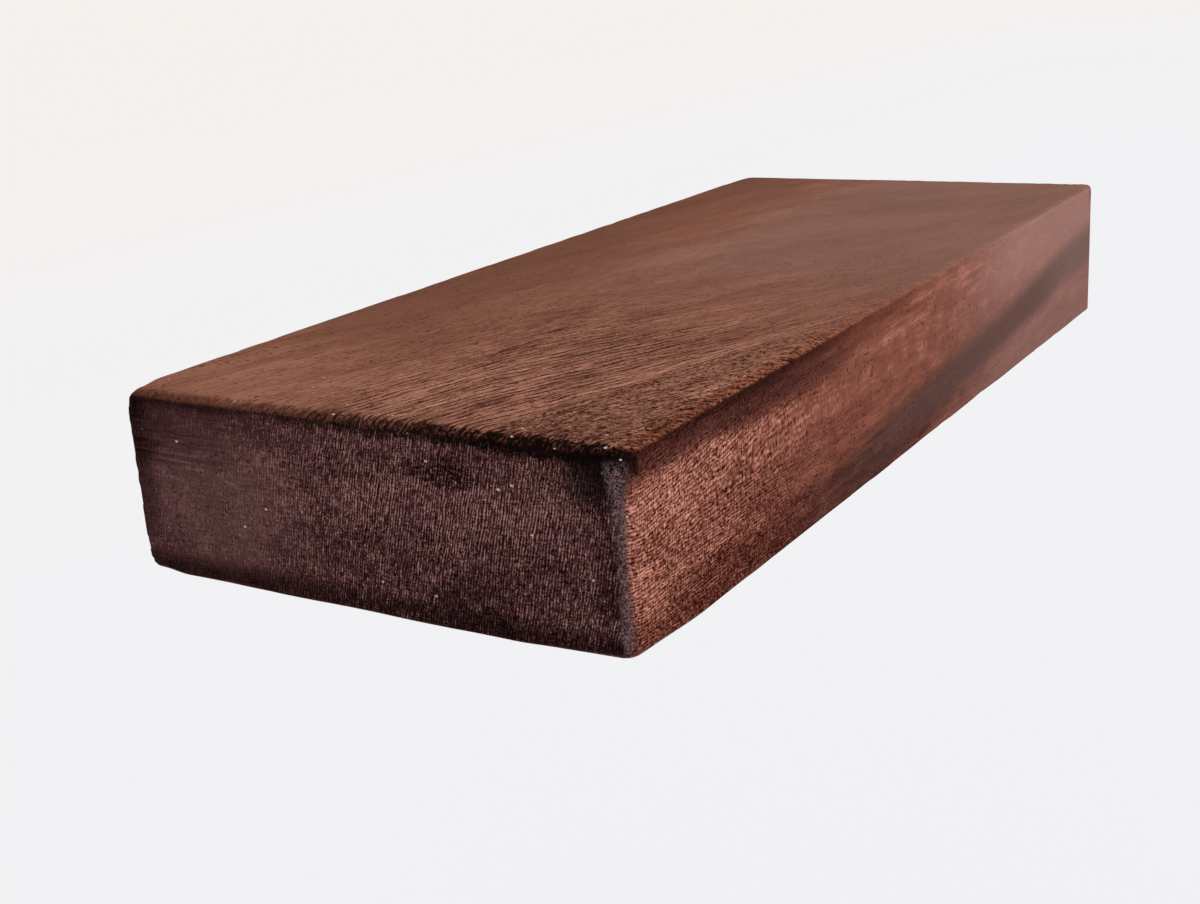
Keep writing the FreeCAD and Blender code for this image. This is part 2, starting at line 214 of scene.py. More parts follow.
def loop_edges(build, loop):
    """The edges round a loop, added where they don't exist yet."""
    pairs = zip(loop, loop[1:] + loop[:1])
    return [build.edges.get(pair) or build.edges.new(pair) for pair in pairs]


def fill_between(build, edges, normal):
    """Fills the flat region between an outer loop and any loops inside it."""
    bmesh.ops.triangle_fill(build, edges=edges, use_beauty=True, use_dissolve=False, normal=normal)


# ---- the board ----


def rim_round(points, upper):
    """How wide and how tall the rounding of the long edges is: by hand, so never quite the same."""
    wander = lattice_noise(points * (1 / 24.0, 1 / 24.0, 0.0), 11)
    near_end = ramp(points[:, 0], 16.0 - HALF_LENGTH, 3.0 - HALF_LENGTH)
    near_front = ramp(points[:, 1], 16.0 - BOARD_DEPTH, 4.0 - BOARD_DEPTH)
    low_corner = ramp(points[:, 0], 34.0 - HALF_LENGTH, 3.0 - HALF_LENGTH)
    low_corner = low_corner * ramp(points[:, 1], 34.0 - BOARD_DEPTH, 3.0 - BOARD_DEPTH)
    near_half = ramp(points[:, 0], 60.0, -150.0)
    from_end = HALF_LENGTH - np.abs(points[:, 0])
    wall_corner = ramp(points[:, 1], -14.0, -3.0) * ramp(from_end, 14.0, 3.0)
    near_wall = ramp(points[:, 1], -12.0, -4.0) * ramp(from_end, 3.0, 14.0)
    top = TOP_ROUND * (0.85 + 0.3 * wander + 0.5 * np.maximum(near_end, near_front * near_half))
    top = top + TOP_ROUND * 0.35 * wall_corner
    bottom = BOTTOM_ROUND * (0.40 + 0.3 * wander + 0.95 * low_corner + 0.95 * wall_corner)
    tall = np.where(upper, top, bottom) * (1.0 - near_wall) + REAR_CORNER_ROUND * near_wall
    broad = np.maximum(near_end, near_front * near_half) * (1.0 - near_wall) * (1.0 - wall_corner)
    return tall * (1.0 + 0.6 * upper * broad), tall


def ease(points, low, high):
    """Rounds a sharp box: its upright corners in plan, then its top and bottom edges all round."""
    x, y, z = points.T
    side_x = np.where(x < (low[0] + high[0]) / 2.0, -1.0, 1.0)
    side_y = np.where(y < (low[1] + high[1]) / 2.0, -1.0, 1.0)
    end_x = np.where(side_x < 0, low[0], high[0])
    end_y = np.where(side_y < 0, low[1], high[1])
    reach_x = np.abs(end_x - x)
    reach_y = np.abs(end_y - y)
    upper = z > (low[2] + high[2]) / 2.0
    end_z = np.where(upper, high[2], low[2])
    depth = np.abs(end_z - z)
    wide, tall = rim_round(points, upper)

    rim = np.minimum(reach_x, reach_y)
    side_z = np.where(upper, 1.0, -1.0)
    part = rim / wide - depth / tall
    rounded = np.abs(part) < 1.0
    tilt = math.pi / 4.0 * (1.0 - np.clip(part, -1.0, 1.0))
    new_rim = np.where(rounded, wide * (1.0 - np.sin(tilt)), rim)
    new_depth = np.where(rounded, tall * (1.0 - np.cos(tilt)), depth)

    front_corner = np.where(side_x < 0, FRONT_CORNER_ROUND, FAR_CORNER_ROUND)
    rear_corner = REAR_CORNER_ROUND * (1.0 + 0.9 * ramp(depth, 9.0, 3.0))
    corner = np.where(side_y < 0, front_corner, rear_corner)
    least_corner = new_rim + TIGHTEST_CORNER * ramp(part, 1.0, 0.2)
    corner = np.where(rounded, np.maximum(corner, least_corner), corner)
    inward_x = np.clip(corner - reach_x, 0.0, None)
    inward_y = np.clip(corner - reach_y, 0.0, None)
    larger = np.maximum(np.maximum(inward_x, inward_y), 1e-9)
    smaller = np.minimum(inward_x, inward_y)
    swing = math.pi / 4.0 * smaller / larger
    angle = np.where(inward_x >= inward_y, swing, math.pi / 2.0 - swing)
    new_x = end_x - side_x * (corner - (corner - new_rim) * np.cos(angle))
    new_y = end_y - side_y * (corner - (corner - new_rim) * np.sin(angle))
    new_x = np.where(inward_x > 0, new_x, x)
    new_y = np.where(inward_y > 0, new_y, y)
    return np.stack([new_x, new_y, end_z - side_z * new_depth], axis=1)


def wear(points, low, high):
    """How far the tool marks, nicks and rubbed arrises sink into the surface, in millimetres."""
    x, y, z = points.T
    from_end = np.minimum(x - low[0], high[0] - x)
    from_front = y - low[1]
    from_wall = high[1] - y
    from_top = high[2] - z
    from_bottom = z - low[2]
    near_end = ramp(from_end, 4.0, 1.0)
    near_rim = ramp(np.minimum(np.minimum(from_end, from_front), from_wall), 4.0, 1.2)
    near_top = ramp(from_top, 4.0, 1.0)
    near_face = ramp(np.minimum(from_top, from_bottom), 4.0, 1.2)

    planed = 0.10 * lattice_noise(points / (60.0, 26.0, 17.0), 21)
    rubbed = 0.16 * near_rim * near_face * ramp(lattice_noise(points / 7.0, 22), 0.40, 0.95)
    blunt = 0.4 * ramp(from_end + from_wall + from_top, 7.0, 1.0)
    fine_nicks = ramp(lattice_noise(points / (0.8, 0.9, 0.9), 23), 0.56, 0.80)
    nick_zone = near_end * near_top * ramp(from_wall, 30.0, 95.0)
    nicks = 0.34 * nick_zone * fine_nicks
    ragged = lattice_noise(np.stack([x / 3.0, y / 2.0, z / 1.1], axis=1), 24)
    wall_edge = ramp(from_wall, 3.0, 0.6) * ramp(from_end, 3.0, 0.6)
    torn = 0.30 * wall_edge * ramp(ragged, 0.35, 0.85)
    return planed + rubbed + blunt + nicks + torn


def rounded_slot(half_length, half_height, radius, y):
    """Points round a rounded rectangle that faces the wall."""
    flat_x = half_length - radius
    flat_z = half_height - radius
    sides = (
        ((1, 1), (-1, 0), 2 * flat_x),
        ((-1, 1), (0, -1), 2 * flat_z),
        ((-1, -1), (1, 0), 2 * flat_x),
        ((1, -1), (0, 1), 2 * flat_z),
    )
    points = []
    for quarter, (corner, direction, length) in enumerate(sides):
        for step in range(SLOT_CORNER_STEPS):
            angle = math.pi / 2.0 * (quarter + step / (SLOT_CORNER_STEPS - 1))
            across = corner[0] * flat_x + radius * math.cos(angle)
            points.append((across, y, corner[1] * flat_z + radius * math.sin(angle)))
        start_x, _, start_z = points[-1]
        count = max(1, round(length / SLOT_SPACING))
        for step in range(1, count):
            moved = length * step / count
            points.append((start_x + direction[0] * moved, y, start_z + direction[1] * moved))
    return points


def add_slots(build, half_length, half_height, radius, profile):
    """Loops round a rounded rectangle, each grown by so much and at its own y."""
    loops = []
    for grow, y in profile:
        points = rounded_slot(half_length + grow, half_height + grow, radius + grow, y)
        loops.append(add_loop(build, points))
    return loops


def add_rings(build, x, profile, count):
    """Loops round an axis through x that faces the wall, from a profile of radius and y."""
    turns = [math.tau * i / count for i in range(count)]
    return [
        add_loop(build, [(x + radius * math.cos(turn), y, radius * math.sin(turn)) for turn in turns])
        for radius, y in profile
    ]


def add_bore(build, x):
    """A blind bore in the recess, flared at its mouth and pointed at its end. Gives its mouth's edges."""
    cone = MOUTH_RADIUS - BORE_RADIUS
    length = BORE_DEPTH - RECESS_DEPTH
    point = BORE_RADIUS / math.tan(DRILL_POINT_HALF_ANGLE)
    profile = [(MOUTH_RADIUS + 0.25, 0.0), (MOUTH_RADIUS, 0.08), (BORE_RADIUS + 0.15, cone - 0.1)]
    profile += [(BORE_RADIUS, cone + 0.2)]
    profile += [(BORE_RADIUS, cone + (length - cone) * i / 12.0) for i in range(1, 13)]
    profile += [(BORE_RADIUS * (1 - i / 4.0), length + point * i / 4.0) for i in (1, 2, 3)]
    profile = [(radius, -RECESS_DEPTH - depth) for radius, depth in profile]
    rings = add_rings(build, x, profile, HOLE_SIDES)
    skin_along(build, rings)
    close_to_point(build, rings[-1], (x, -RECESS_DEPTH - length - point, 0.0))
    return loop_edges(build, rings[0])


def add_recess(build, outer_edges):
    """The routed recess in the back, and the two bores in its floor."""
    profile = [(grow, -depth) for grow, depth in RECESS_LIP]
    profile += [(grow, rise - RECESS_DEPTH) for grow, rise in RECESS_FOOT]
    loops = add_slots(build, RECESS_HALF_LENGTH, RECESS_HALF_HEIGHT, RECESS_CORNER_ROUND, profile)
    skin_along(build, loops)
    fill_between(build, outer_edges + loop_edges(build, loops[0]), (0, 1, 0))
    floor_edges = loop_edges(build, loops[-1])
    for x in (-BORE_X, BORE_X):
        floor_edges += add_bore(build, x)
    fill_between(build, floor_edges, (0, 1, 0))


def board_mesh():
    """The eased solid board, with its recess and bores."""
    low, high = (np.array(corner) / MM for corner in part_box("shelf_board"))
    places = [stations(*ends) for ends in zip(low, high, MIDDLE_STEPS)]
    quads = box_skin(places)
    middles = [places[axis][quads[:, :, axis]].mean(axis=1) for axis in range(3)]
    on_back = np.all(quads[:, :, 1] == len(places[1]) - 1, axis=1)
    from_rim = np.minimum(high[0] - np.abs(middles[0]), high[2] - np.abs(middles[2]))
    quads = quads[~(on_back & (from_rim > BACK_MARGIN))]

    sizes = [len(one) for one in places]
    keys = (quads[:, :, 0] * sizes[1] + quads[:, :, 1]) * sizes[2] + quads[:, :, 2]
    kept, quads = np.unique(keys, return_inverse=True)
    quads = quads.reshape(-1, 4)
    indices = (kept // (sizes[1] * sizes[2]), kept // sizes[2] % sizes[1], kept % sizes[2])
    points = np.stack([places[axis][indices[axis]] for axis in range(3)], axis=1)
    points = ease(points, low, high)
    normals = vertex_normals(points, quads)
    flat_back = ramp(points[:, 1], -0.9, -0.05) * ramp(normals[:, 1], 0.9, 1.0)
    points -= normals * (wear(points, low, high) * (1.0 - flat_back))[:, None]

    mesh = bpy.data.meshes.new("board_skin")
    mesh.from_pydata(points.tolist(), [], quads.tolist())
    build = bmesh.new()
    build.from_mesh(mesh)
    bpy.data.meshes.remove(mesh)
    add_recess(build, [edge for edge in build.edges if edge.is_boundary])
    return mesh_of(build, "shelf_board_wood")


# ---- the bracket ----


def plate_mesh():
    """The flat bar, with eased edges, two rod holes and four countersunk screw holes."""
    build = bmesh.new()
    edge = [(grow, -depth) for grow, depth in PLATE_EDGE]
    edge += [(grow, depth - PLATE_THICKNESS) for grow, depth in reversed(PLATE_EDGE)]
    loops = add_slots(build, PLATE_HALF_LENGTH, PLATE_HALF_HEIGHT, PLATE_CORNER_ROUND, edge)
    skin_along(build, loops)
    back_edges = loop_edges(build, loops[0])
    front_edges = loop_edges(build, loops[-1])
    rod_hole = ((WELD_ROD_RADIUS + 0.3, 0.0), (WELD_ROD_RADIUS, -0.3), (WELD_ROD_RADIUS, -PLATE_THICKNESS))
    screw_hole = ((3.0, 0.0), (2.75, -0.25), (2.75, -2.58), (5.12, -4.93), (5.3, -PLATE_THICKNESS))
    holes = [(x, rod_hole, HOLE_SIDES) for x in (-BORE_X, BORE_X)]
    holes += [(x, screw_hole, SCREW_HOLE_SIDES) for x in SCREW_X]
    for x, profile, count in holes:
        rings = add_rings(build, x, profile, count)
        skin_along(build, rings)
        back_edges += loop_edges(build, rings[0])
        front_edges += loop_edges(build, rings[-1])
    fill_between(build, back_edges, (0, 1, 0))
    fill_between(build, front_edges, (0, -1, 0))
    return mesh_of(build, "wall_plate_steel")


def rod_mesh(x):
    """A drawn steel rod with a turned lead-in at its free end."""
    build = bmesh.new()
    start, end = ROD_STRAIGHT
    profile = [(ROD_RADIUS - 0.25, -0.5), (ROD_RADIUS, -start)]
    profile += [(ROD_RADIUS, -start - (end - start) * i / 24.0) for i in range(1, 25)]
    profile += [(5.93, -118.5), (4.75, -119.75), (4.5, -119.93), (4.2, -120.0)]
    rings = add_rings(build, x, profile, HOLE_SIDES)
    skin_along(build, rings)
    build.faces.new(rings[0])
    build.faces.new(rings[-1])
    return mesh_of(build, "rod_steel")


def weld_profile(sweep):
    """The bead's cross-section, as radius and y, at an angle from where the weld was started."""
    ripple = (sweep / math.tau * WELD_RIPPLES) % 1.0
    swell = 0.16 * math.sin(math.pi * ripple) ** 0.7
    lump = 0.25 * math.exp(-((min(sweep, math.tau - sweep) / 0.16) ** 2))
    toe = 0.12 * math.sin(sweep * 5.0 + 1.0) + 0.08 * math.sin(sweep * 11.0)
    profile = [(WELD_ROD_RADIUS, -4.99), (WELD_ROD_RADIUS + WELD_REACH - 0.18 + toe, -4.99)]
    for step in range(1, 8):
        share = step / 8.0
        bulge = math.sin(math.pi * share) * (0.10 + swell + lump)
        radius = WELD_ROD_RADIUS + (WELD_REACH - 0.18 + toe) * (1.0 - share) + bulge
        profile.append((radius, -PLATE_THICKNESS - (WELD_REACH - 0.12 + toe) * share - bulge))
    profile.append((WELD_ROD_RADIUS, -PLATE_THICKNESS - (WELD_REACH - 0.05 + toe * 0.5)))
    return profile


def weld_mesh(x, start_angle):
    """A hand-laid fillet weld: overlapping ripples round the rod, with a lump where it starts and stops."""
    build = bmesh.new()
    loops = []
    for i in range(WELD_TURNS):
        turn = math.tau * i / WELD_TURNS
        profile = weld_profile((turn - start_angle) % math.tau)
        points = [(x + radius * math.cos(turn), y, radius * math.sin(turn)) for radius, y in profile]
        loops.append(add_loop(build, points))
    skin_along(build, loops + loops[:1])
    return mesh_of(build, "weld_bead")


def cross_outline(half_length, half_width, y, x, turned):
    """Points round a cross with slightly rounded inner corners, as a screwdriver leaves it."""
    corner = half_width * 1.25
    quarter = [(half_length, -half_width), (half_length, half_width)]
    quarter += [(corner, half_width), (half_width, corner)]
    points = []
    for i in range(4):
        turn = math.pi / 2.0 * i + turned
        sine = math.sin(turn)
        cosine = math.cos(turn)
        for across, up in quarter:
            points.append((x + across * cosine - up * sine, y, across * sine + up * cosine))
    return points


def thread_radius(y, around):
    """How far a screw's surface is from its axis, at a depth and a share of a turn."""
    point = min(1.0, (SCREW_END - y) / SCREW_POINT_LENGTH)
    begin = min(1.0, (y - SCREW_THREAD_START) / 2.0)
    phase = (y / SCREW_PITCH + around) % 1.0
    crest = max(0.0, 1.0 - abs(phase - 0.5) / 0.24)
    root = SCREW_ROOT_RADIUS * point ** 0.8
    return root + (SCREW_THREAD_RADIUS - SCREW_ROOT_RADIUS) * crest * point ** 0.6 * begin


def screw_mesh(x, turned):
    """A countersunk cross-head wood screw with a rolled helical thread and a gimlet point."""
    build = bmesh.new()
    head = [(4.45, SCREW_HEAD_TOP), (4.72, SCREW_HEAD_TOP + 0.05), (4.8, SCREW_HEAD_TOP + 0.2)]
    head += [(4.7, SCREW_HEAD_TOP + 0.4), (2.2, SCREW_HEAD_TOP + 2.9), (1.9, -0.8), (1.85, 2.0)]
    rings = add_rings(build, x, head, SCREW_SIDES)
    rows = round((SCREW_END - SCREW_THREAD_START) / SCREW_PITCH * 12)
    for row in range(rows):
        y = SCREW_THREAD_START + (SCREW_END - SCREW_THREAD_START) * (row / rows)
        points = []
        for i in range(SCREW_SIDES):
            turn = math.tau * i / SCREW_SIDES
            radius = thread_radius(y, i / SCREW_SIDES)
            points.append((x + radius * math.cos(turn), y, radius * math.sin(turn)))
        rings.append(add_loop(build, points))
    skin_along(build, rings)
    close_to_point(build, rings[-1], (x, SCREW_END, 0.0))

    recess = ((2.62, 0.62, 0.0), (2.48, 0.55, 0.12), (1.55, 0.44, 1.5), (0.75, 0.38, 2.15))
    levels = [
        add_loop(build, cross_outline(length, width, SCREW_HEAD_TOP + depth, x, turned))
        for length, width, depth in recess
    ]
    skin_along(build, levels)
    fill_between(build, loop_edges(build, rings[0]) + loop_edges(build, levels[0]), (0, -1, 0))
    build.faces.new(levels[-1])
    return mesh_of(build, "screw_steel")


# ---- node trees ----


def srgb(red, green, blue):
    """A colour as it shows on a screen, from 0 to 1, as Blender's linear colour."""
    linear = [c / 12.92 if c <= 0.04045 else ((c + 0.055) / 1.055) ** 2.4 for c in (red, green, blue)]
    return (*linear, 1.0)


class Value:
    """A socket in a node tree. Sums and products of values add the nodes that work them out."""

    def __init__(self, tree, socket):
        self.tree = tree
        self.socket = socket

    def math(self, operation, *others):
        node = self.tree.nodes.new("ShaderNodeMath")
        node.operation = operation
        for socket, value in zip(node.inputs, (self, *others)):
            feed(self.tree, socket, value)
        return Value(self.tree, node.outputs[0])

    def __add__(self, other):
        return self.math("ADD", other)

    def __sub__(self, other):
        return self.math("SUBTRACT", other)

    def __mul__(self, other):
        return self.math("MULTIPLY", other)

    def __truediv__(self, other):
        return self.math("DIVIDE", other)

    def __neg__(self):
        return self.math("MULTIPLY", -1.0)

    def size(self):
        return self.math("ABSOLUTE")

    def least(self, other):
        return self.math("MINIMUM", other)

    def most(self, other):
        return self.math("MAXIMUM", other)

    def fade(self, start, end, shape="SMOOTHSTEP"):
        """Goes smoothly from 0 at start to 1 at end."""
        node = self.tree.nodes.new("ShaderNodeMapRange")
        node.interpolation_type = shape
        low, high, at_low, at_high = (start, end, 0.0, 1.0) if end > start else (end, start, 1.0, 0.0)
        feed_all(self.tree, node, Value=self, From_Min=low, From_Max=high, To_Min=at_low, To_Max=at_high)
        return Value(self.tree, node.outputs[0])

    def rise(self, start, end):
        """Goes evenly from 0 at start to 1 at end."""
        return self.fade(start, end, "LINEAR")

    def within(self, low, high, soft):
        """1 between low and high, falling to 0 over the soft distance outside them."""
        return self.fade(low - soft, low) * self.fade(high + soft, high)

    def rest(self):
        """What is left of 1."""
        return -self + 1.0


def feed(tree, socket, value):
    """Links a value to a socket, or sets the socket to a plain number or colour."""
    if isinstance(value, Value):
        tree.links.new(value.socket, socket)
    else:
        socket.default_value = value


def feed_all(tree, node, **values):
    """Feeds a node's sockets, named with underscores for spaces."""
    for name, value in values.items():
        feed(tree, node.inputs[name.replace("_", " ")], value)


class Paint:
    """A material under construction, with its surface position and direction to hand."""

    def __init__(self, name):
        self.material = bpy.data.materials.new(name)
        self.material.use_nodes = True
        self.tree = self.material.node_tree
        self.tree.nodes.clear()
        self.coordinates = self.tree.nodes.new("ShaderNodeTexCoord")

    def split(self, socket):
        node = self.tree.nodes.new("ShaderNodeSeparateXYZ")
        self.tree.links.new(socket, node.inputs[0])
        return [Value(self.tree, output) for output in node.outputs]

    def place(self):
        """The three object coordinates, in millimetres."""
        return [one / MM for one in self.split(self.coordinates.outputs["Object"])]

    def facing(self):
        """The three parts of the surface's direction."""
        return self.split(self.coordinates.outputs["Normal"])

    def point(self, x, y, z):
        node = self.tree.nodes.new("ShaderNodeCombineXYZ")
        for socket, value in zip(node.inputs, (x, y, z)):
            feed(self.tree, socket, value)
        return Value(self.tree, node.outputs[0])

    def noise(self, x, y, z, detail=2.0, roughness=0.5, distortion=0.0):
        """Cloudy noise from 0 to 1, with one cloud per unit of the coordinates."""
        node = self.tree.nodes.new("ShaderNodeTexNoise")
        feed_all(self.tree, node, Vector=self.point(x, y, z), Scale=1.0, Detail=detail)
        feed_all(self.tree, node, Roughness=roughness, Distortion=distortion)
        return Value(self.tree, node.outputs["Fac"])

    def cells(self, x, y, z):
        """The distance from the nearest of some scattered points, and that point's three random numbers."""
        node = self.tree.nodes.new("ShaderNodeTexVoronoi")
        feed_all(self.tree, node, Vector=self.point(x, y, z), Scale=1.0)
        return Value(self.tree, node.outputs["Distance"]), self.split(node.outputs["Color"])

    def mix(self, factor, under, over):
        """Goes from one colour to another."""
        return self.layer("MIX", factor, under, over)

    def tint(self, factor, under, over):
        """Multiplies one colour by another."""
        return self.layer("MULTIPLY", factor, under, over)

    def layer(self, kind, factor, under, over):
        node = self.tree.nodes.new("ShaderNodeMix")
        node.data_type = "RGBA"
        node.blend_type = kind
        feed(self.tree, node.inputs[0], factor)
        feed(self.tree, node.inputs[6], under)
        feed(self.tree, node.inputs[7], over)
        return Value(self.tree, node.outputs[2])

    def bump(self, height, distance_mm):
        """The surface's direction, tilted by a height of so many millimetres."""
        node = self.tree.nodes.new("ShaderNodeBump")
        feed_all(self.tree, node, Strength=1.0, Distance=distance_mm * MM, Height=height)
        return Value(self.tree, node.outputs[0])

    def surface(self, **sockets):
        """Finishes the material as one Principled surface."""
        shader = self.tree.nodes.new("ShaderNodeBsdfPrincipled")
        output = self.tree.nodes.new("ShaderNodeOutputMaterial")
        self.tree.links.new(shader.outputs[0], output.inputs[0])
        feed_all(self.tree, shader, **sockets)
        return self.material


# ---- wood ----

FIBRE_DRIFT = 0.27


class Flow:
    """Where a point lies on the board, in millimetres, and where it lies along and across the fibres."""

    def __init__(self, paint):
        x, y, z = paint.place()
        facing_x, _, facing_z = paint.facing()
        self.x, self.y, self.z = x, y, z
        self.from_near = x + HALF_LENGTH
        self.from_wall = -y
        self.from_top = -z + HALF_THICKNESS
        self.from_end = -x.size() + HALF_LENGTH
        self.from_front = y + BOARD_DEPTH
        fray = (paint.noise(x / 1.6, y / 1.6, z / 1.6, 2.0) - 0.5) * 2.2
        self.grit = paint.noise(x / 0.42, y / 0.42, z / 0.42, 1.0)
        self.flat = facing_z.size().fade(0.42, 0.72)
        self.end = facing_x.size().fade(0.6, 0.88) * (self.from_top + fray).fade(0.8, 2.6)

        # the fibres drift across the board as they run, sway and waver
        sway = (paint.noise(x / 90.0, y / 50.0, z / 60.0) - 0.5) * 14.0
        waver = (paint.noise(x / 9.0, y / 6.0, z / 5.0) - 0.5) * 2.0
        self.across = self.from_wall - self.from_near * FIBRE_DRIFT + sway + waver
        self.along = self.from_near + self.from_wall * FIBRE_DRIFT
        climbing = self.from_near.least(80.0) * self.from_top.fade(30.0, 8.0) * 0.12
        self.level = self.from_top + climbing + sway * 0.25 + waver
        self.leaning = self.from_wall + self.from_top * 0.24 + sway * 0.4 + waver * 0.5


def spot(a, centre_a, reach_a, b, centre_b, reach_b):
    """1 in the middle of an oval patch, 0 outside it."""
    first = (a - centre_a) / reach_a
    second = (b - centre_b) / reach_b
    return (first * first + second * second).fade(1.0, 0.1)


def fine_lines(paint, across, along, depth, spacing, wander):
    """Wavy lines along the fibres, from -1 to 1, that crowd together and spread out."""
    drift = paint.noise(along / (spacing * 8.0), across / (spacing * 2.2), depth / (spacing * 6.0), 2.0)
    return ((across / spacing + drift * wander) * math.tau).math("SINE")


def flat_grain(paint, flow):
    """The colour of the top and bottom, and how far its fibres stand up."""
    near = flow.from_near
    wall = flow.from_wall
    along = flow.along
    z = flow.z
    across = flow.across - near * wall.rise(60.0, 125.0) * 0.14
    broad = paint.noise(along / 60.0, across / 12.0, z / 20.0, 3.0)
    line = fine_lines(paint, across, along, z, 2.4, 1.3)
    hair = fine_lines(paint, across, along, z, 1.5, 2.4)
    breaks = paint.noise(along / 9.0, across / 2.6, z / 6.0, 2.0, 0.6)
    fibre = paint.noise(along / 6.0, across / 0.9, z / 2.0, 2.0, 0.6)
    dash = paint.noise(along / 1.3, across / 0.7, z / 2.0, 1.0, 0.6, 0.6)
    clump = paint.noise(along / 8.0, across / 3.0, z / 6.0, 2.0)
    ridge = wall - near * FIBRE_DRIFT - 110.0
    speckled = ridge.fade(0.5, 6.0) * near.fade(150.0, 70.0)
    figured = wall.fade(30.0, 85.0) * near.fade(170.0, 50.0) * 0.8 + 0.2
    lined = spot(near, 25.0, 95.0, flow.across, 88.0, 38.0)
    slit = line.fade(0.55, 0.98) * breaks.fade(0.38, 0.50) * (speckled.rest() * 0.4 + 0.6)
    pit = dash.fade(0.44, 0.34) * clump.fade(0.40, 0.60) * (speckled * 0.8 + figured * 0.2)
    tone = (fibre - 0.5) * (figured * 1.2 + 0.36) + (dash - 0.5) * (speckled * 1.2 + figured * 0.6)
    tone = tone + (flow.grit - 0.5) * (figured * 1.05) + hair * figured * 0.10
    tone = tone + (broad - 0.5) * 0.75 + (breaks - 0.5) * 0.3 + 0.56
    tone = tone - slit * (lined * 0.6 + figured * 0.35) - pit * 0.7 + (clump - 0.5) * speckled * 0.5
    tone += ridge.within(-1.2, 1.2, 2.2) * near.within(12.0, 120.0, 25.0) * 0.14
    tone += spot(near, 22.0, 45.0, wall, 82.0, 40.0) * 0.10
    tone -= spot(near, 150.0, 85.0, wall, 108.0, 65.0) * 0.11
    blotch = spot(near, 22.0, 7.0, flow.across, 95.0, 3.5) * 0.4
    blotch += spot(near, 70.0, 9.0, flow.across, 58.0, 2.0) * 0.3
    blotch += spot(near, 87.0, 6.0, flow.across, 53.0, 1.8) * 0.3
    tone = tone - blotch - spot(near, 75.0, 80.0, wall, 64.0, 20.0) * 0.12
    tone -= near.fade(22.0, 0.0) * wall.fade(30.0, 60.0) * 0.10
    tone -= near.fade(110.0, 45.0) * wall.fade(92.0, 128.0) * 0.16
    colour = paint.mix(tone.rise(-0.1, 0.5), srgb(0.16, 0.045, 0.018), srgb(0.507, 0.326, 0.253))
    colour = paint.mix(tone.rise(0.5, 1.2), colour, srgb(0.74, 0.53, 0.445))
    brown = wall.fade(75.0, 5.0) * near.fade(10.0, 110.0)
    colour = paint.mix(brown * 0.75, colour, srgb(0.375, 0.22, 0.16))
    # Painted sheen: the far part of the top is paled to a pinkish grey, as a grazing reflection of the
    # light would pale it.
    grazing_sheen = near.fade(90.0, 230.0) * wall.fade(25.0, 85.0)
    colour = paint.mix(grazing_sheen * 0.7, colour, srgb(0.475, 0.345, 0.308))
    rusty = spot(near, 250.0, 60.0, wall, 40.0, 14.0)
    return paint.mix(rusty * 0.3, colour, srgb(0.50, 0.30, 0.21)), tone


def side_grain(paint, flow):
    """The colour of the front and back, and how far its fibres stand up."""
    near = flow.from_near
    top = flow.from_top
    along = flow.along
    level = flow.level
    y = flow.y
    line = fine_lines(paint, level, along, y, 0.82, 1.3)
    weave = paint.noise(along / 1.1, y / 1.1, level / 0.5, 1.0)
    streak = paint.noise(along / 30.0, y / 8.0, level / 1.3, 2.0)
    broad = paint.noise(along / 60.0, y / 20.0, level / 9.0, 2.0)
    patch = paint.noise(along / 9.0, y / 9.0, level / 3.0, 2.0)
    bold = near.fade(130.0, 30.0) * 0.85 + 0.15
    pit = weave.fade(0.45, 0.33) * line.fade(0.3, -0.4) * bold
    cross = paint.noise(along / 0.6, y / 0.6, level / 1.8, 1.0)
    tone = line * bold * (patch * 0.38) + (weave - 0.5) * (bold * 1.7) + (cross - 0.5) * (bold * 1.3)
    tone = tone + (streak - 0.5) * 0.5 + (broad - 0.5) * 0.4 + (patch - 0.5) * 0.5 + 0.54 - pit * 0.35
    tone = tone + (flow.grit - 0.5) * bold - near.fade(22.0, 6.0) * top.fade(34.0, 44.0) * 0.14
    soft = (broad - 0.5) * 4.0

    # a dark strip under the top edge, and a charcoal streak that climbs from the bottom edge
    strip = near.within(55.0, 110.0, 20.0) * 2.6 + 8.8
    under = top.fade(0.8, 2.0) * (top + soft - strip).fade(2.5, -3.0)
    under *= near.fade(190.0, 60.0)
    sunk = top.fade(12.0, 46.0) * near.fade(4.0, 30.0) * 0.22
    sunk += near.fade(12.0, 40.0) * near.fade(260.0, 150.0) * 0.08
    low = (top + soft).fade(35.0, 44.0) * near.fade(190.0, 90.0)
    climb = top + near * 0.083 + soft - 53.2
    smoky = near.fade(285.0, 330.0)
    charcoal = (climb + smoky * 2.0).within(-2.5, 2.5, 8.0) * near.fade(60.0, 190.0)
    shine = spot(near, 3.0, 5.0, top, 26.0, 12.0)
    tone = tone * (under * -0.35 + 1.0) + shine * 0.08 - top.fade(37.0, 45.0) * 0.08
    tone = tone - sunk - low * 0.13 - charcoal * 0.2
    tone -= spot(near, 12.0, 16.0, top, 28.0, 12.0) * 0.10
    colour = paint.mix(tone.rise(-0.1, 0.5), srgb(0.19, 0.03, 0.012), srgb(0.49, 0.288, 0.229))
    colour = paint.mix(tone.rise(0.5, 1.2), colour, srgb(0.83, 0.575, 0.50))
    colour = paint.tint(under * 0.85, colour, srgb(0.58, 0.50, 0.55))
    colour = paint.tint(under * top.fade(5.5, 3.0), colour, srgb(0.80, 0.72, 0.70))
    pale = near.fade(210.0, 275.0) * (top + streak * 8.0).fade(30.0, 14.0)
    colour = paint.mix(pale * 0.6, colour, srgb(0.645, 0.475, 0.44))
    colour = paint.mix(near.fade(160.0, 290.0) * 0.6, colour, srgb(0.53, 0.40, 0.372))
    smoke = paint.mix(smoky, srgb(0.32, 0.225, 0.21), srgb(0.40, 0.31, 0.30))
    return paint.mix(charcoal * 0.75, colour, smoke), tone


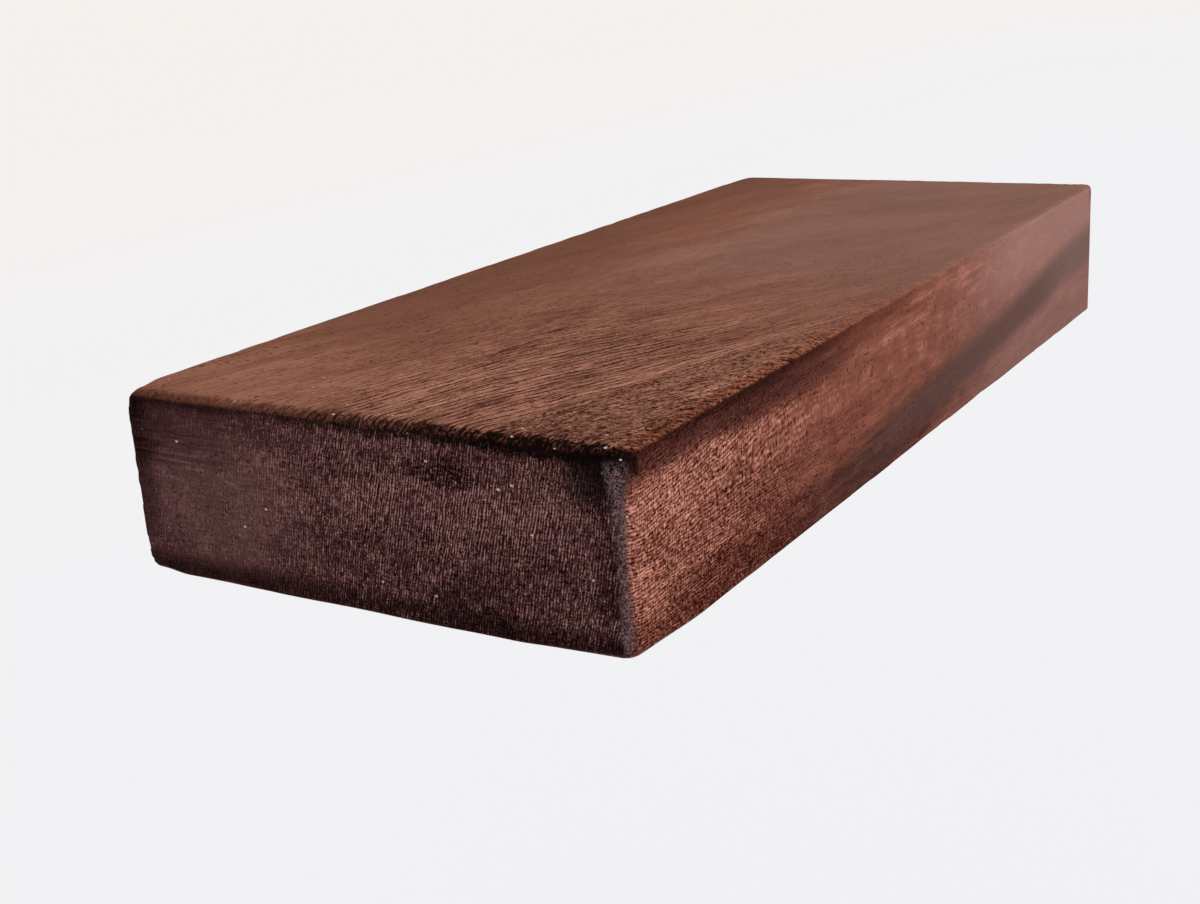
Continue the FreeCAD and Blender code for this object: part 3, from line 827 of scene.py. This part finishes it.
def end_grain(paint, flow):
    """The colour of the two ends, and how far its fibres stand up."""
    wall = flow.from_wall
    top = flow.from_top
    x, y, z = flow.x, flow.y, flow.z
    line = fine_lines(paint, flow.leaning, top * 0.6, x, 0.78, 1.5)
    weave = paint.noise(flow.leaning / 0.5, top / 2.6, x / 2.0, 1.0)
    across = paint.noise(y / 6.0, z / 0.6, x, 1.5)
    mottle = paint.noise(y / 11.0, z / 7.0, x / 9.0, 4.0, 0.65)
    patch = paint.noise(y / 5.0, z / 6.0, x / 5.0, 2.0)
    dot = paint.noise(y / 0.7, z / 0.8, x, 0.5)
    lined = wall.fade(30.0, 80.0) * 0.75 + 0.25
    glow = spot(wall, 102.0, 44.0, top, 21.0, 14.0)
    tone = line * lined * (patch * 0.2 + glow * 0.12 + 0.14) + (weave - 0.5) * (lined * 1.5 + 0.2)
    tone = tone + (across - 0.5) * 0.5 + (mottle - 0.5) * 0.7
    tone = tone + (flow.grit - 0.5) * (lined * 1.4 + 0.35) + 0.457 + glow * 0.08
    pitted = (wall.fade(40.0, 75.0) * 0.8 + 0.2) * (top.fade(20.0, 34.0) * 0.6 + 0.4)
    tone -= dot.fade(0.38, 0.28) * pitted * 0.6

    saw = paint.noise(wall / 16.0, top / 0.9, x, 1.0)
    wall_side = wall.fade(12.0, 2.0) * top.fade(46.0, 26.0)
    scored = spot(wall, 18.0, 22.0, top, 15.0, 7.0)
    tone = tone - wall_side * (saw * 0.5 + 0.11) - scored * (saw.fade(0.4, 0.65) * 0.3)
    tone += spot(wall, 32.0, 40.0, top, 26.0, 22.0) * 0.12
    check = spot(wall, 101.0, 13.0, top, 11.0, 4.5)
    fine_check = paint.noise(y / 2.2, z / 0.9, x, 3.0, 0.65).fade(0.44, 0.58)
    tone -= check * (fine_check * 0.5 + 0.15)
    tone -= (top + mottle * 5.0).fade(44.5, 49.5) * 0.42
    tone -= (top + mottle * 8.0).fade(13.0, 6.0) * wall.fade(95.0, 140.0) * 0.35
    tone -= flow.from_front.within(3.5, 6.5, 4.0) * (top.fade(13.0, 7.0) * 0.14 + 0.14)
    tone -= spot(wall, 100.0, 62.0, top, 34.0, 16.0) * 0.09
    tone -= wall.fade(40.0, 22.0) * top.fade(20.0, 8.0) * 0.09
    tone -= spot(wall, 107.0, 16.0, top, 42.0, 7.0) * (across * 0.3)
    colour = paint.mix(tone.rise(-0.1, 0.5), srgb(0.085, 0.015, 0.014), srgb(0.30, 0.18, 0.175))
    colour = paint.mix(tone.rise(0.5, 1.3), colour, srgb(0.71, 0.53, 0.49))
    purple = paint.noise(y / 14.0, z / 9.0, x / 9.0, 2.0).fade(0.45, 0.6)
    colour = paint.tint(purple * 0.35, colour, srgb(0.97, 0.90, 1.0))
    dusty = spot(wall, 28.0, 30.0, top, 26.0, 22.0)
    return paint.mix(dusty * 0.35, colour, srgb(0.385, 0.28, 0.265)), tone


def arris_marks(paint, flow, colour):
    """Black nicks along the top edges and a darkening there that is partly grime and partly painted shade,
    and a painted highlight down each upright front corner, a pale purplish-grey sheen.
    """
    near, end = flow.from_near, flow.from_end
    front, wall = flow.from_front, flow.from_wall
    top = flow.from_top
    x, y, z = flow.x, flow.y, flow.z
    ragged = (paint.noise(x / 2.5, y / 2.5, z / 2.5, 3.0) - 0.5) * 4.0
    over = top - end * 0.6 + ragged
    worn_and_shaded = near.fade(200.0, 100.0) * 0.8 + 0.2
    arris = over.within(0.0, 2.4, 2.2) * end.fade(6.5, 5.0) * worn_and_shaded
    front_over = top - front * 0.7 + ragged * 0.5
    front_arris = front_over.within(-0.5, 1.6, 2.0) * front.fade(6.0, 4.5)
    front_arris *= near.fade(200.0, 40.0)
    # Painted shade, partly grime: the rounded top edges, and a line just under the near end's top edge, are
    # darkened where the rounding turns from the light, most at the near end and towards the front.
    grime_and_shade = wall.fade(70.0, 125.0)
    colour = paint.tint(arris * (grime_and_shade * 0.30 + 0.55), colour, srgb(0.50, 0.37, 0.33))
    under = over.within(1.4, 3.6, 1.6) * end.fade(2.5, 1.5) * worn_and_shaded
    colour = paint.tint(under * (grime_and_shade * 0.25 + 0.10), colour, srgb(0.50, 0.35, 0.34))
    colour = paint.tint(front_arris * 0.8, colour, srgb(0.78, 0.66, 0.56))

    reach = wall.fade(25.0, 120.0)
    nick = paint.noise(x, y / 0.85, z / 0.95, 1.0, 0.5, 0.3)
    clump = paint.noise(x / 6.0, y / 4.5, z / 6.0, 1.0)
    nick = nick + (clump - 0.5) * 0.32 + reach * 0.05
    nicks = nick.fade(0.53, 0.575) * arris.fade(0.05, 0.4) * (reach * 0.7 + 0.3)
    colour = paint.mix(nicks * 0.95, colour, srgb(0.03, 0.012, 0.012))
    front_nick = paint.noise(x / 1.6 + z, y / 1.6, z / 1.3, 1.0, 0.5, 0.6)
    front_nicks = (front_nick + (clump - 0.5) * 0.4).fade(0.66, 0.72) * front_arris.fade(0.1, 0.5)
    colour = paint.mix(front_nicks * 0.8, colour, srgb(0.07, 0.035, 0.03))
    # A near-black patch at the top of the near end, beside the front corner.
    black_corner_patch = spot(wall, 142.0, 10.0, top * 0.6 + ragged, 4.5, 5.0)
    black_corner_patch *= near.fade(3.5, 1.5)
    colour = paint.mix(black_corner_patch * 0.8, colour, srgb(0.035, 0.015, 0.018))

    # A painted highlight down each upright front corner: a pale purplish-grey sheen with dark flecks,
    # painted into the colour as a reflection on the rounded corner.
    sheen_fleck = paint.noise(x / 0.9, y / 0.9, z, 3.0, 0.8)
    drift = paint.noise(x / 20.0, y / 20.0, z / 5.0, 3.0, 0.65) * 2.4
    upper = top.fade(20.0, 3.0)
    end_side = (front - upper * 1.8 + drift).fade(5.4, 3.4)
    front_side = (end - upper * 0.3 + drift).fade(4.2, 1.6)
    corner = end_side * front_side * (top + ragged * 0.6).fade(1.8, 5.2)
    corner *= (top + drift * 2.0).fade(54.0, 48.0)
    corner = corner * (sheen_fleck * 0.9 + 0.48).least(1.0) * nick.fade(0.76, 0.69)
    # rubbed here holds the painted highlight's two colours, dark fleck and pale sheen.
    rubbed = (sheen_fleck + flow.grit - 0.5).fade(0.25, 0.80)
    rubbed = paint.mix(rubbed, srgb(0.15, 0.095, 0.105), srgb(0.56, 0.445, 0.46))
    return paint.mix(corner * 0.85, colour, rubbed)


def wood_material():
    """Oiled, open-pored, red-brown hardwood, painted in the solid so that it runs round every edge."""
    paint = Paint("oiled_hardwood")
    flow = Flow(paint)
    flat_colour, flat_tone = flat_grain(paint, flow)
    side_colour, side_tone = side_grain(paint, flow)
    end_colour, end_tone = end_grain(paint, flow)
    colour = paint.mix(flow.flat, side_colour, flat_colour)
    colour = paint.mix(flow.end, colour, end_colour)
    tone = between(between(side_tone, flat_tone, flow.flat), end_tone, flow.end)

    # open pores: short dark slits along the fibres
    gap, chance = paint.cells(flow.along / 2.2, flow.across / 0.8, flow.level / 0.7)
    crowd = paint.noise(flow.along / 26.0, flow.across / 7.0, flow.level / 7.0).fade(0.35, 0.65)
    pore_size = chance[0] * 0.26 + crowd * 0.14
    pore = (gap - pore_size).fade(0.07, -0.07) * chance[1].fade(0.40, 0.45)
    pore *= flow.from_near.fade(300.0, 40.0) * 0.68 + 0.32
    colour = paint.tint(pore * 0.8, colour, srgb(0.46, 0.26, 0.21))
    colour = arris_marks(paint, flow, colour)

    # a few specks of pale dust, most of them on the near end
    gap, chance = paint.cells(flow.x / 3.4, flow.y / 4.0, flow.z / 2.8)
    speck = (gap - chance[0] * 0.11 - 0.03).fade(0.015, -0.015) * chance[1].fade(0.68, 0.70)
    speck *= flow.from_near.fade(50.0, 0.0) * 0.7 + 0.1
    colour = paint.mix(speck, colour, srgb(0.84, 0.75, 0.70))

    relief = paint.noise(flow.along / 4.0, flow.across / 0.8, flow.level / 0.7, 2.0, 0.6)
    normal = paint.bump(relief - pore, 0.14)
    rough = pore * 0.1 - tone * 0.08 + 0.82
    return paint.surface(Base_Color=colour, Roughness=rough, Normal=normal, Specular_IOR_Level=0.03)


def between(first, second, factor):
    """Goes from one number to another."""
    return first * factor.rest() + second * factor


# ---- metal and nylon ----


def heat_tint(paint, colour, distance, inner):
    """The oxide colours that welding leaves on steel: dark by the weld, then blue, brown and straw."""
    for start, end, tone, share in (
        (6.5, 9.5, (0.55, 0.44, 0.26), 0.55),
        (4.0, 7.0, (0.36, 0.22, 0.20), 0.65),
        (1.8, 4.6, (0.18, 0.20, 0.32), 0.70),
        (0.0, 2.4, (0.13, 0.12, 0.12), 0.80),
    ):
        near = distance.fade(inner + end, inner + start)
        colour = paint.mix(near * share, colour, srgb(*tone))
    return colour


def plate_material():
    """Hot-rolled flat bar: blue-grey mill scale with rolling lines, scuffs and a few rust freckles."""
    paint = Paint("rolled_steel")
    x, y, z = paint.place()
    _, facing_y, _ = paint.facing()
    rolled = paint.noise(x / 30.0, y / 2.0, z / 0.35, 3.0, 0.6)
    cloud = paint.noise(x / 12.0, y / 12.0, z / 12.0, 4.0, 0.65)
    scuff = paint.noise(x / 1.5 + z / 9.0, y / 3.0, z / 0.18, 2.0).fade(0.62, 0.72)
    freckle = paint.noise(x / 1.8, y / 1.8, z / 1.8, 3.0, 0.6).fade(0.64, 0.72) * cloud.fade(0.45, 0.62)
    tone = cloud * 0.7 + rolled * 0.5 - 0.1
    colour = paint.mix(tone.fade(0.2, 0.8), srgb(0.25, 0.26, 0.29), srgb(0.43, 0.44, 0.46))
    colour = paint.mix(scuff * 0.5, colour, srgb(0.62, 0.62, 0.62))
    edge = facing_y.size().fade(0.98, 0.75) * cloud.fade(0.3, 0.6)
    colour = paint.mix(edge * 0.5, colour, srgb(0.60, 0.60, 0.60))
    across = x.size() - BORE_X
    reach = (across * across + z * z).math("SQRT") + cloud * 2.0
    colour = heat_tint(paint, colour, reach, 9.5)
    colour = paint.mix(freckle * 0.7, colour, srgb(0.38, 0.20, 0.11))
    rough = tone * 0.18 + freckle * 0.35 + 0.34
    normal = paint.bump(rolled * 0.5 + cloud * 0.6 - scuff * 0.3 + freckle * 0.5, 0.10)
    return paint.surface(Base_Color=colour, Roughness=rough, Normal=normal, Metallic=0.9)


def rod_material():
    """Bright drawn bar: fine lines along it, rub marks round it and heat colours by the weld."""
    paint = Paint("drawn_steel")
    x, y, z = paint.place()
    drawn = paint.noise(x / 0.22, y / 18.0, z / 0.22, 2.0, 0.6)
    smear = paint.noise(x / 4.0, y / 9.0, z / 4.0, 4.0, 0.6)
    rubbed = paint.noise(x / 5.0, y / 0.5, z / 5.0, 2.0, 0.6).fade(0.58, 0.72)
    colour = paint.mix(smear.fade(0.3, 0.7), srgb(0.52, 0.51, 0.50), srgb(0.70, 0.69, 0.68))
    colour = paint.mix(rubbed * 0.35, colour, srgb(0.40, 0.37, 0.35))
    distance = -y + smear * 3.0
    colour = heat_tint(paint, colour, distance, 9.0)
    rough = drawn * 0.16 + rubbed * 0.15 + 0.20
    normal = paint.bump(drawn * 0.5 + rubbed * 0.4 + smear * 0.2, 0.05)
    return paint.surface(Base_Color=colour, Roughness=rough, Normal=normal, Metallic=1.0)


def weld_material():
    """Weld metal with a brown and blue oxide skin and a little spatter."""
    paint = Paint("weld_metal")
    x, y, z = paint.place()
    cloud = paint.noise(x / 1.6, y / 1.6, z / 1.6, 3.0, 0.6)
    colour = paint.mix(cloud.fade(0.3, 0.6), srgb(0.22, 0.20, 0.22), srgb(0.48, 0.44, 0.42))
    colour = paint.mix(cloud.fade(0.6, 0.75) * 0.6, colour, srgb(0.45, 0.30, 0.18))
    normal = paint.bump(paint.noise(x / 0.3, y / 0.3, z / 0.3, 3.0, 0.6) + cloud, 0.06)
    return paint.surface(Base_Color=colour, Roughness=cloud * 0.25 + 0.28, Normal=normal, Metallic=0.95)


def zinc_material():
    """Bright zinc plate, slightly blue and yellow, with fine rolling marks."""
    paint = Paint("zinc_plate")
    x, y, z = paint.place()
    cloud = paint.noise(x / 1.2, y / 2.0, z / 1.2, 3.0, 0.6)
    fine = paint.noise(x / 0.12, y / 0.5, z / 0.12, 2.0, 0.6)
    colour = paint.mix(cloud.fade(0.3, 0.7), srgb(0.66, 0.68, 0.73), srgb(0.82, 0.80, 0.72))
    normal = paint.bump(fine * 0.5 + cloud, 0.03)
    return paint.surface(Base_Color=colour, Roughness=cloud * 0.2 + 0.2, Normal=normal, Metallic=1.0)


def nylon_material():
    """Pale grey moulded nylon with a faint flow pattern and a sparked mould texture."""
    paint = Paint("moulded_nylon")
    x, y, z = paint.place()
    run = paint.noise(x / 1.5, y / 8.0, z / 1.5, 3.0)
    grain = paint.noise(x / 0.22, y / 0.22, z / 0.22, 2.0, 0.6)
    colour = paint.mix(run.fade(0.3, 0.7), srgb(0.60, 0.60, 0.59), srgb(0.70, 0.70, 0.68))
    normal = paint.bump(grain * 0.5 + run * 0.4, 0.05)
    return paint.surface(Base_Color=colour, Roughness=grain * 0.15 + 0.42, Normal=normal)


# ---- stage ----

FLOOR_DROP = 0.95
FLOOR_SIZE = 160.0
FLOOR_TONE = (0.945, 0.95, 0.96)
BACKDROP_TONE = (0.96, 0.945, 0.93)
LIGHT_TONE = (0.97, 0.97, 0.98)
LIGHT_STRENGTH = 0.46
CAMERA_PLACE = (-0.4529, -0.31865, 0.1269)
CAMERA_TURN = (72.36, 3.61, -58.572)
CAMERA_LENS = 48.2
SENSOR_WIDTH = 36.0


def make_floor():
    """A plain pale floor, well below the shelf."""
    build = bmesh.new()
    bmesh.ops.create_grid(build, x_segments=8, y_segments=8, size=FLOOR_SIZE)
    mesh = bpy.data.meshes.new("floor")
    build.to_mesh(mesh)
    build.free()
    floor = add_object("floor", mesh)
    floor.location = (0.0, 0.0, -FLOOR_DROP)
    mesh.materials.append(floor_material())


def floor_material():
    """A pale matt floor, slightly cool nearby, warmer behind the shelf and towards the horizon."""
    paint = Paint("pale_floor")
    x, y, _ = paint.place()
    behind = (y * MM).fade(0.5, 9.0)
    distance = (x * x + y * y).math("SQRT") * MM
    far = behind.most(distance.fade(3.0, 30.0))
    colour = paint.mix(far, srgb(*FLOOR_TONE), srgb(*BACKDROP_TONE))
    return paint.surface(Base_Color=colour, Roughness=1.0, Specular_IOR_Level=0.0)


def add_background(tree, tone, strength):
    """An even light of one tone."""
    node = tree.nodes.new("ShaderNodeBackground")
    feed_all(tree, node, Color=srgb(*tone), Strength=strength)
    return node


def make_world():
    """Soft pale light from all round, and a pale backdrop that the camera, metal and glass see."""
    world = bpy.data.worlds.new("studio")
    bpy.context.scene.world = world
    world.use_nodes = True
    tree = world.node_tree
    tree.nodes.clear()
    path = tree.nodes.new("ShaderNodeLightPath")
    output = tree.nodes.new("ShaderNodeOutputWorld")
    lit = add_background(tree, LIGHT_TONE, LIGHT_STRENGTH)
    seen = add_background(tree, BACKDROP_TONE, 1.0)
    shown = Value(tree, path.outputs["Is Camera Ray"]).most(Value(tree, path.outputs["Is Glossy Ray"]))
    shown = shown.most(Value(tree, path.outputs["Is Transmission Ray"]))
    mix = tree.nodes.new("ShaderNodeMixShader")
    feed(tree, mix.inputs[0], shown)
    tree.links.new(lit.outputs[0], mix.inputs[1])
    tree.links.new(seen.outputs[0], mix.inputs[2])
    tree.links.new(mix.outputs[0], output.inputs["Surface"])


def add_lamp(name, place, spread, strength, colour):
    """A broad, soft, distant lamp that shines from the place towards the object."""
    lamp = bpy.data.lights.new(name, "SUN")
    lamp.angle = math.radians(spread)
    lamp.energy = strength
    lamp.color = colour
    piece = add_object(name, lamp)
    piece.location = place
    piece.rotation_euler = (-Vector(place)).to_track_quat("-Z", "Y").to_euler()


def make_lamps():
    """A warm key from the front right, and a faint cool fill from the near end."""
    add_lamp("key_lamp", (0.75, -1.05, 1.1), 30.0, 2.55, (1.0, 0.98, 0.96))
    add_lamp("fill_lamp", (-1.3, -0.5, 1.1), 40.0, 0.26, (0.94, 0.97, 1.0))


def make_camera():
    """The photograph's viewpoint, fitted to the board's outline and corners."""
    data = bpy.data.cameras.new("camera")
    data.sensor_width = SENSOR_WIDTH
    data.lens = CAMERA_LENS
    data.clip_start = 0.01
    data.clip_end = 500.0
    camera = add_object("camera", data)
    camera.location = CAMERA_PLACE
    camera.rotation_euler = Euler([math.radians(angle) for angle in CAMERA_TURN], "XYZ")
    bpy.context.scene.camera = camera


# ---- assembly ----


def assemble():
    """Builds the stage and every piece."""
    bpy.context.scene.view_settings.view_transform = "Standard"
    make_camera()
    make_world()
    make_lamps()
    make_floor()
    new_piece("board", board_mesh(), "shelf", ["shelf_board"], wood_material())
    new_piece("flat_bar", plate_mesh(), "bracket", ["wall_plate"], plate_material())
    drawn = rod_material()
    bead = weld_material()
    for side, x, start_angle in (("left", -BORE_X, 0.9), ("right", BORE_X, 2.6)):
        new_piece(f"bar_rod_{side}", rod_mesh(x), "bracket", [f"rod_{side}"], drawn)
        mesh = weld_mesh(x, start_angle)
        new_piece(f"bead_{side}", mesh, "bracket", [f"weld_{side}"], bead, 60.0)
    zinc = zinc_material()
    nylon = nylon_material()
    for i, x in enumerate(SCREW_X, start=1):
        mesh = screw_mesh(x, 0.4 + 0.7 * i)
        new_piece(f"threaded_screw_{i}", mesh, "bracket", [f"wall_screw_{i}"], zinc)
        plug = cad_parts[f"wall_plug_{i}"]
        plug.data.materials.clear()
        plug.data.materials.append(nylon)


assemble()
